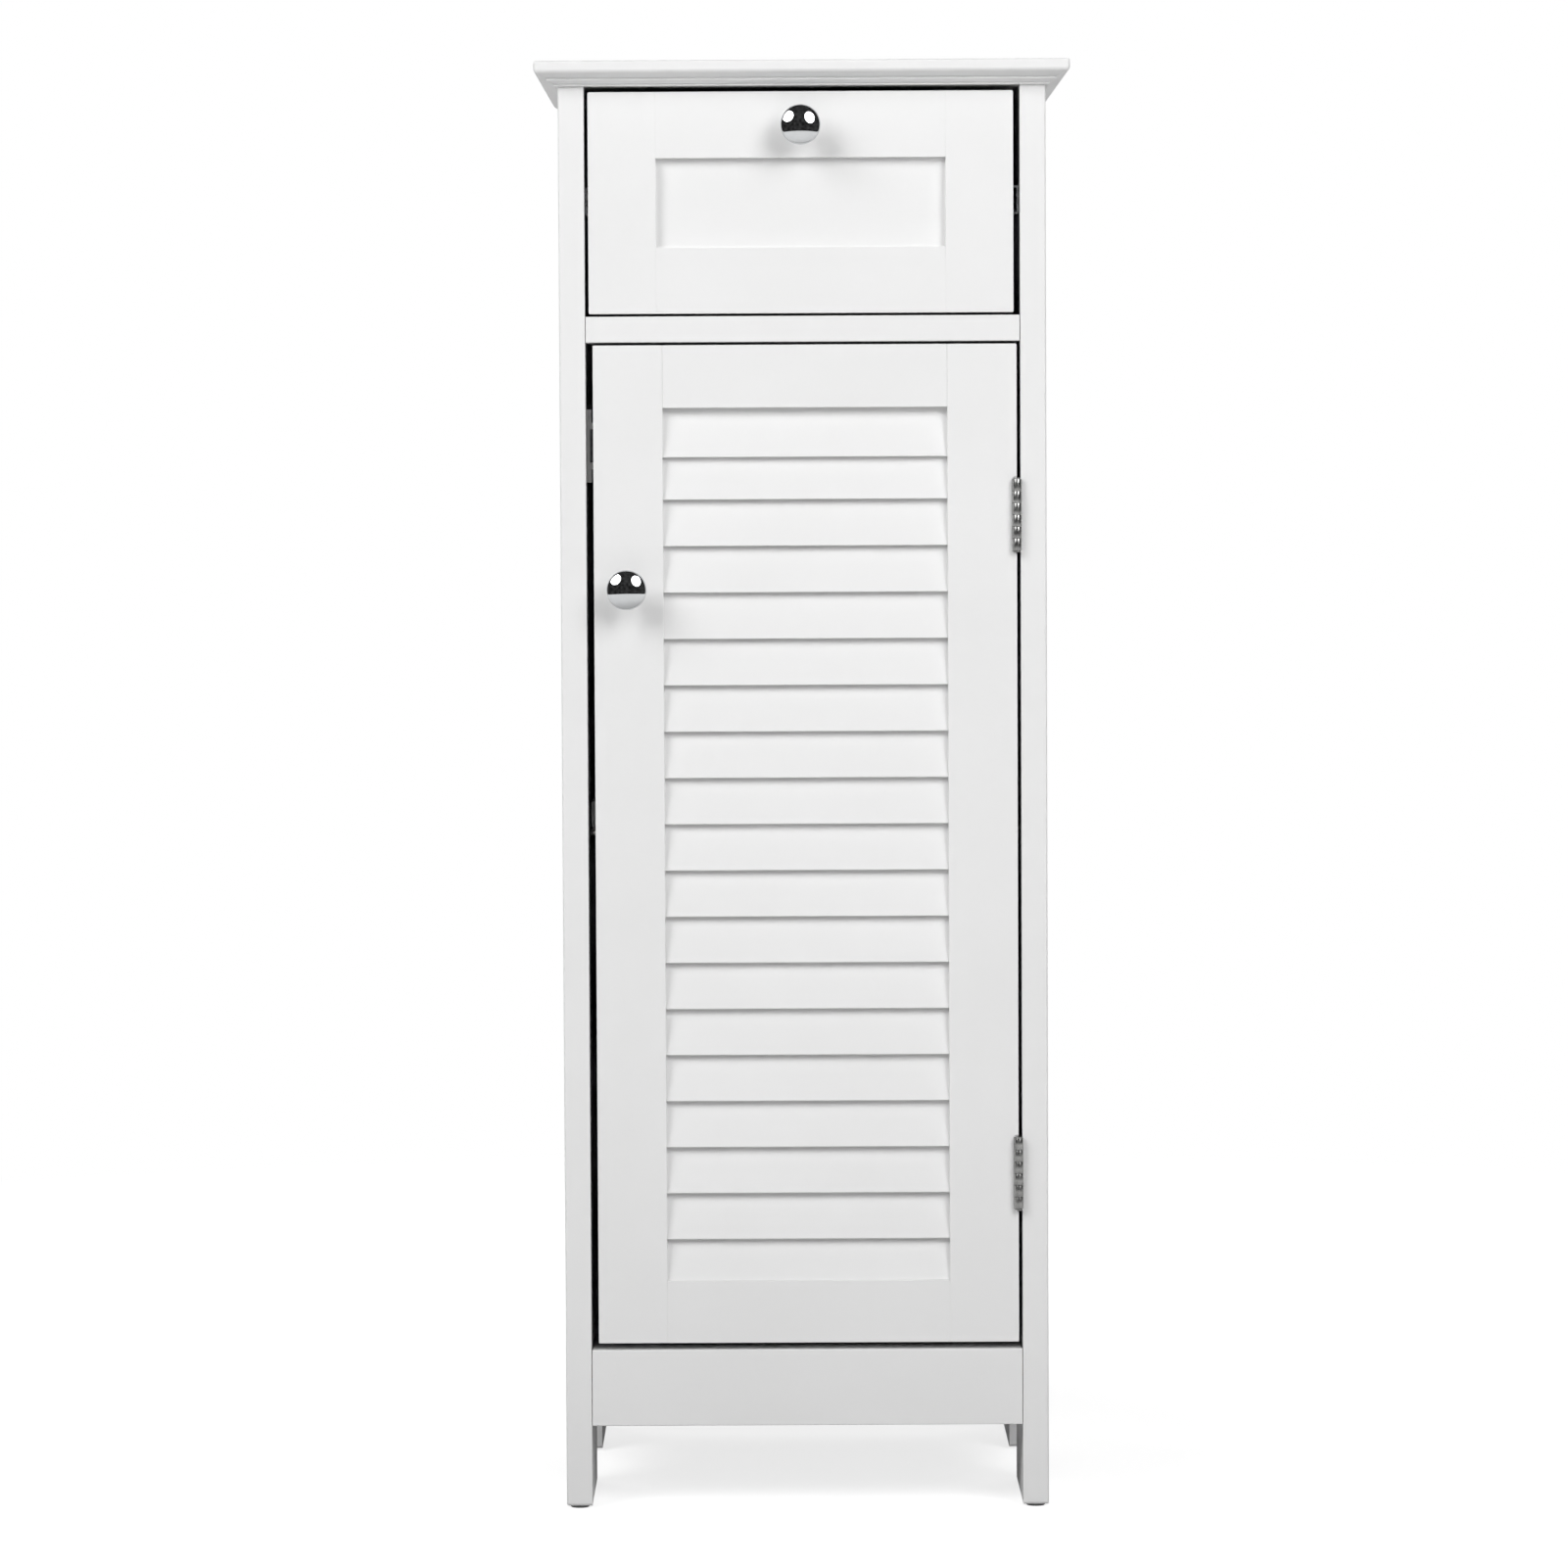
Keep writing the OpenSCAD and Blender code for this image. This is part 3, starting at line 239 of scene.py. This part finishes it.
def eased(node, name, body, mat, free=(), corner=0.001, fine=0.00015, pick=None,
          joint_gap=0):
    """A board from the frame with its free edges rounded by hand sanding and its joints left crisp.

    free gives the radius at each free side, in metres (x0 is the low side in x). An edge between
    two free sides takes the smaller radius, or corner where it runs through the board's thickness,
    and any other outer edge takes fine. pick(edge) gives other radii. joint_gap is the open joint
    left at the board's two ends in x."""
    touch, sharp, shortest = 1e-5, radians(30), 0.0012
    free = dict(free)
    low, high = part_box(node)
    bm = bmesh.new()
    bm.from_mesh(cad[node].data)
    bmesh.ops.remove_doubles(bm, verts=bm.verts, dist=1e-6)
    bmesh.ops.dissolve_limit(bm, angle_limit=0.01, verts=bm.verts, edges=bm.edges)
    thin = min(range(3), key=lambda k: high[k] - low[k])

    def side(face):
        k = max(range(3), key=lambda k: abs(face.normal[k]))
        reach = [v.co[thin] for v in face.verts]
        through = min(reach) < low[thin] + touch and max(reach) > high[thin] - touch
        if abs(face.normal[k]) > 0.9999:
            if abs(face.verts[0].co[k] - low[k]) < touch:
                return "xyz"[k] + "0"
            if abs(face.verts[0].co[k] - high[k]) < touch:
                return "xyz"[k] + "1"
            return "full" if through else "step"
        return "full" if through else None

    free["full"] = max(free.values(), default=0)

    def radius(edge):
        if len(edge.link_faces) != 2 or not edge.is_convex or edge.calc_face_angle() < sharp:
            return 0
        if pick:
            return pick(edge)
        sides = [side(f) for f in edge.link_faces]
        if None in sides or ("full" in sides and edge.calc_length() < shortest):
            return 0
        if not all(s in free for s in sides):
            return fine
        run = edge.verts[0].co - edge.verts[1].co
        return corner if abs(run[thin]) > 0.9 * run.length else min(free[s] for s in sides)

    radii = [radius(e) for e in bm.edges]
    width = max(radii)
    weight = bm.edges.layers.float.new("bevel_weight_edge")
    for edge, r in zip(bm.edges, radii):
        edge[weight] = r / width if width else 0
        edge.smooth = len(edge.link_faces) == 2 and edge.calc_face_angle() < sharp
    for face in bm.faces:
        face.smooth = True
    for v in bm.verts:
        if abs(v.co.x - low.x) < touch:
            v.co.x += joint_gap
        elif abs(v.co.x - high.x) < touch:
            v.co.x -= joint_gap
    mesh = bpy.data.meshes.new(name)
    bm.to_mesh(mesh)
    bm.free()
    mesh.materials.append(mat)
    piece = bpy.data.objects.new(name, mesh)
    bpy.context.scene.collection.objects.link(piece)
    if width:
        round_over = piece.modifiers.new("round_over", "BEVEL")
        round_over.limit_method = "WEIGHT"
        round_over.width = width
        round_over.segments = 3
        round_over.use_clamp_overlap = False
        round_over.harden_normals = True
    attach(piece, body)
    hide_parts(node)
    return piece


lacquer = finish("white_lacquer", ((0.862, 0.862, 0.86), (0.878, 0.878, 0.877)), 9, (0.48, 0.56),
                 (1500, 0.00001), mirror=0.3)


def top_radius(edge):
    """The lip is rounded, most of all below; the moulding's arrises under it stay crisp."""
    touch, lip_above, lip_below, crisp = 1e-5, 0.0015, 0.0018, 0.0002
    low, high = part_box("top_panel")
    points = [v.co for v in edge.verts]
    if all(p.z > high.z - touch for p in points):
        return lip_above
    lip_planes = ((0, low.x), (0, high.x), (1, low.y))
    if any(all(abs(p[k] - at) < touch for p in points) for k, at in lip_planes):
        return lip_below
    return crisp


eased("top_panel", "top_board", "carcass", lacquer, pick=top_radius)


# ---------------------------------------------------------------- sides
# Two tall boards that run down into the legs, with an arch cut between the front and rear leg.
# The front and rear edges and the legs are rounded; the top end is hidden under the moulding.
for hand, inner, outer in (("left", "x1", "x0"), ("right", "x0", "x1")):
    eased("side_panel_" + hand, "side_board_" + hand, "carcass", lacquer,
          {outer: 0.0012, inner: 0.0003, "y0": 0.0012, "y1": 0.0012, "z0": 0.0012}, corner=0.002)


# ---------------------------------------------------------------- rails and fixed boards
# The divider, the cabinet floor, the front apron and the rear rail lie between the sides, held by
# cam locks and dowels. Their long edges are rounded, and each end stops a hair short of the side,
# so the joint shows as a dark line.
for node, piece in (
    ("divider_panel", "divider_board"), ("bottom_panel", "floor_board"),
    ("front_apron", "apron_board"), ("rear_rail", "rear_rail_board"),
):
    eased(node, piece, "carcass", lacquer,
          dict.fromkeys(("y0", "y1", "z0", "z1"), 0.0005), fine=0.0002, joint_gap=0.0004)


# ---------------------------------------------------------------- shelf
# One loose lacquered board on four nickel-plated pins, with all its edges rounded. The pins push
# into holes in the sides, and can go one row up or down.
eased("shelf", "shelf_board", "carcass", lacquer,
      dict.fromkeys(("x0", "x1", "y0", "y1", "z0", "z1"), 0.0008))


def keep(nodes, mat, soften=0.0):
    """Pieces whose shape in the frame is final: they only take their finish, with broken edges
    where soften is given.
    """
    for node in nodes:
        piece = cad[node]
        piece.data.materials.clear()
        piece.data.materials.append(mat)
        weld = piece.modifiers.new("weld", "WELD")
        weld.merge_threshold = 1e-6
        if soften:
            broken = piece.modifiers.new("broken_edges", "BEVEL")
            broken.width = soften
            broken.segments = 2
            broken.angle_limit = radians(40)
            broken.harden_normals = True


pin_nickel = finish("pin_nickel", ((0.70, 0.69, 0.66), (0.76, 0.75, 0.73)), 300, (0.2, 0.32),
                    (2500, 0.000004), metal=1.0)
keep(["shelf_pins"], pin_nickel, 0.00025)


# ---------------------------------------------------------------- back and drawer bottom
# Thin hardboard, white on its show side, slid into grooves and left unsprayed. Its surface shows
# a slight fibre and is duller than the lacquer.
hardboard = finish("white_hardboard", ((0.817, 0.817, 0.804), (0.838, 0.838, 0.827)), 60,
                   (0.55, 0.68), (900, 0.00003))
keep(["back_panel", "drawer_bottom"], hardboard)


# ---------------------------------------------------------------- cam fittings and dowels
# Die-cast zinc cam locks in round pockets, which pull on the heads of zinc-plated cam bolts, and
# beech dowels beside them that keep the boards in line. The wood screws share the bolts' plating.
cam_zinc = finish("cam_zinc", ((0.58, 0.59, 0.60), (0.68, 0.69, 0.70)), 400, (0.38, 0.5),
                  (1200, 0.00002), metal=1.0)
zinc_plate = finish("screw_steel", ((0.66, 0.67, 0.68), (0.74, 0.75, 0.76)), 500, (0.24, 0.36),
                    (2600, 0.000004), metal=1.0)
beech = finish("beech", ((0.66, 0.47, 0.29), (0.78, 0.61, 0.42)), 180, (0.6, 0.75),
               (900, 0.00004), grain=(0.15, 1, 1))
keep(["cam_locks", "drawer_cam_locks"], cam_zinc, 0.00015)
keep(["cam_bolts", "drawer_cam_bolts"], zinc_plate)
keep(["carcass_dowels", "drawer_dowels"], beech)
keep([node for node in cad if node.endswith(("_screws", "_screw"))], zinc_plate)


# ---------------------------------------------------------------- glides
# Four round glides of dark plastic, one under each leg, each on its own nail. They keep the legs'
# ends off a wet floor.
glide_plastic = finish("glide_plastic", ((0.10, 0.10, 0.10), (0.15, 0.15, 0.15)), 300, (0.5, 0.65),
                       (2000, 0.00001))
keep(["foot_glides"], glide_plastic, 0.0002)


# ---------------------------------------------------------------- catch
# A magnetic catch inside the left side: a white plastic case screwed to the side, a bar magnet in
# it, and a plated strike on the back of the door.
catch_plastic = finish("catch_plastic", ((0.84, 0.84, 0.83), (0.88, 0.88, 0.87)), 120, (0.4, 0.5),
                       (1800, 0.00001))
ferrite = finish("magnet_ferrite", ((0.10, 0.10, 0.11), (0.17, 0.17, 0.18)), 500, (0.6, 0.75),
                 (1500, 0.00002))
strike_steel = finish("strike_steel", ((0.64, 0.65, 0.66), (0.74, 0.75, 0.76)), 250, (0.25, 0.38),
                      (2000, 0.000005), metal=1.0)
keep(["catch_case"], catch_plastic, 0.0004)
keep(["catch_magnet"], ferrite, 0.0002)
keep(["strike_plate"], strike_steel, 0.0002)


# ---------------------------------------------------------------- drawer slides
# Ball-bearing side slides of rolled, zinc-plated strip: an outer member on each side, an inner
# member on each drawer side, and a pressed cage of steel balls that runs between them.
slide_steel = finish("slide_steel", ((0.68, 0.69, 0.71), (0.77, 0.78, 0.80)), 160, (0.22, 0.34),
                     (1800, 0.000008), grain=(1, 0.08, 1), metal=1.0)
cage_steel = finish("cage_steel", ((0.54, 0.55, 0.56), (0.64, 0.65, 0.66)), 300, (0.3, 0.42),
                    (1800, 0.00001), grain=(1, 0.2, 1), metal=1.0)
ball_steel = finish("ball_steel", ((0.76, 0.77, 0.78), (0.83, 0.84, 0.85)), 800, (0.05, 0.1),
                    (3000, 0.000001), metal=1.0)
keep(["slide_outer_left", "slide_outer_right", "slide_inner_left", "slide_inner_right"],
     slide_steel, 0.0002)
keep(["slide_cage_left", "slide_cage_right"], cage_steel, 0.0001)
keep(["slide_balls_left", "slide_balls_right"], ball_steel)


# ---------------------------------------------------------------- hinges
# Two small butt hinges of nickel-plated steel, 43 mm high with six rolled knuckles, which show
# as a narrow strip in the gap on the right of the door.
hinge_nickel = finish("hinge_nickel", ((0.30, 0.30, 0.295), (0.42, 0.42, 0.412)), 350, (0.22, 0.34),
                      (2200, 0.000008), grain=(1, 1, 0.25), metal=1.0)
keep([node for node in cad if node.startswith("hinge_") and "screws" not in node],
     hinge_nickel, 0.0002)


# ---------------------------------------------------------------- door frame
# Two stiles and two rails of 15 mm board, tenoned and glued, then sanded flush and sprayed. The
# outer edges are rounded; the joints between the pieces show as hairlines.
front_edge = 0.0003
for node, piece, outer in (
    ("door_stile_left", "door_left_stile", "x0 z0 z1"),
    ("door_stile_right", "door_right_stile", "x1 z0 z1"),
    ("door_rail_top", "door_top_rail", "z1"),
    ("door_rail_bottom", "door_bottom_rail", "z0"),
):
    eased(node, piece, "door", lacquer,
          dict.fromkeys(outer.split() + ["y0", "y1"], front_edge))


# ---------------------------------------------------------------- louvre slats
# Nineteen thin slats that lean in at the top and lap like weatherboards, each glued by a tongue
# at both ends into slots in the stiles. Their long edges are rounded.
def slat_radius(edge):
    """A slat's low front arris is only broken; its other long edges are rounder."""
    broken, rounder, shortest = 0.0003, 0.0008, 0.15
    if abs(edge.verts[0].co.x - edge.verts[1].co.x) < shortest:
        return 0
    facing = sum((f.normal for f in edge.link_faces), Vector())
    return broken if facing.y < 0 and facing.z < 0 else rounder


eased("louvre_slats", "slats", "door", lacquer, pick=slat_radius)


# ---------------------------------------------------------------- knobs
# Turned and chromed zinc: a small round foot, a waisted neck and a shallow domed head with a
# rounded rim. A machine screw through the board holds each one.
knob_out, knob_r, cap_r, rim_r = 0.022, 0.0120, 0.0204, 0.0024
foot_r, neck_r = 0.0065, 0.0045


def arc(cx, cz, r, start, end, steps):
    turns = [radians(start + (end - start) * k / steps) for k in range(steps + 1)]
    return [(cx + r * cos(a), cz + r * sin(a)) for a in turns]


rim_x = knob_r - rim_r
rim_z = knob_out - cap_r + sqrt((cap_r - rim_r) ** 2 - rim_x ** 2)
rim_top = 90 - degrees(rim_x / (cap_r - rim_r)) * 1.05
foot = [(foot_r, 0), (foot_r, 0.0010), (foot_r - 0.0002, 0.0012), (foot_r - 0.0008, 0.0013)]
neck = [(0.0012, 0.0022), (0.0004, 0.0034), (0, 0.0046), (0, 0.0080), (0.0003, 0.0094),
        (0.0012, 0.0108), (0.0030, 0.0126)]
knob_line = foot + [(neck_r + flare, out_by) for flare, out_by in neck]
knob_line += arc(rim_x, rim_z, rim_r, -52, rim_top, 12)
knob_line += arc(0, knob_out - cap_r, cap_r, rim_top - 1, 90, 22)[1:]

chrome = finish("knob_chrome", ((0.60, 0.61, 0.62), (0.66, 0.67, 0.68)), 90, (0.02, 0.05),
                (700, 0.000002), metal=1.0)
knob_turns = 96
turns = [2 * pi * k / knob_turns for k in range(knob_turns)]
for node, body in (("door_knob", "door"), ("drawer_knob", "drawer")):
    low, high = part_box(node)
    cx, back, cz = (low.x + high.x) / 2, high.y, (low.z + high.z) / 2
    bm = bmesh.new()
    rings = []
    for r, out_by in knob_line[:-1]:
        ring = [(cx + r * cos(a), back - out_by, cz + r * sin(a)) for a in turns]
        rings.append([bm.verts.new(point) for point in ring])
    tip = bm.verts.new((cx, back - knob_out, cz))
    for a, b in zip(rings, rings[1:]):
        for k in range(knob_turns):
            bm.faces.new((a[k], a[k - 1], b[k - 1], b[k]))
    for k in range(knob_turns):
        bm.faces.new((rings[-1][k], rings[-1][k - 1], tip))
    bm.faces.new(rings[0])
    bmesh.ops.recalc_face_normals(bm, faces=bm.faces)
    for face in bm.faces:
        face.smooth = True
    for edge in bm.edges:
        edge.smooth = edge.calc_face_angle() < radians(50)
    mesh = bpy.data.meshes.new(node + "_turned")
    bm.to_mesh(mesh)
    bm.free()
    mesh.materials.append(chrome)
    piece = bpy.data.objects.new(node + "_turned", mesh)
    bpy.context.scene.collection.objects.link(piece)
    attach(piece, body)
    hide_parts(node)


# ---------------------------------------------------------------- drawer front
# A frame of two stiles and two rails round a thin recessed panel, glued and sprayed as one. The
# outer edges are rounded and the joints show as hairlines.
for node, piece, outer in (
    ("drawer_stile_left", "drawer_left_stile", "x0 z0 z1"),
    ("drawer_stile_right", "drawer_right_stile", "x1 z0 z1"),
    ("drawer_rail_top", "drawer_top_rail", "z1"),
    ("drawer_rail_bottom", "drawer_bottom_rail", "z0"),
):
    eased(node, piece, "drawer", lacquer,
          dict.fromkeys(outer.split() + ["y0", "y1"], front_edge))
eased("drawer_panel", "drawer_recessed_panel", "drawer", lacquer, fine=0.0002)


# ---------------------------------------------------------------- drawer box
# Two sides and a back of 12 mm board with rounded top edges, screwed together at the back, with
# the bottom in a groove. Two dowels place the front, and two cam locks pull it on.
for node, piece, outer in (
    ("drawer_side_left", "drawer_left_side", "x0 x1 z0 z1"),
    ("drawer_side_right", "drawer_right_side", "x0 x1 z0 z1"),
    ("drawer_back", "drawer_back_board", "y0 y1 z0 z1"),
):
    eased(node, piece, "drawer", lacquer, dict.fromkeys(outer.split(), 0.001),
          fine=0.0002)
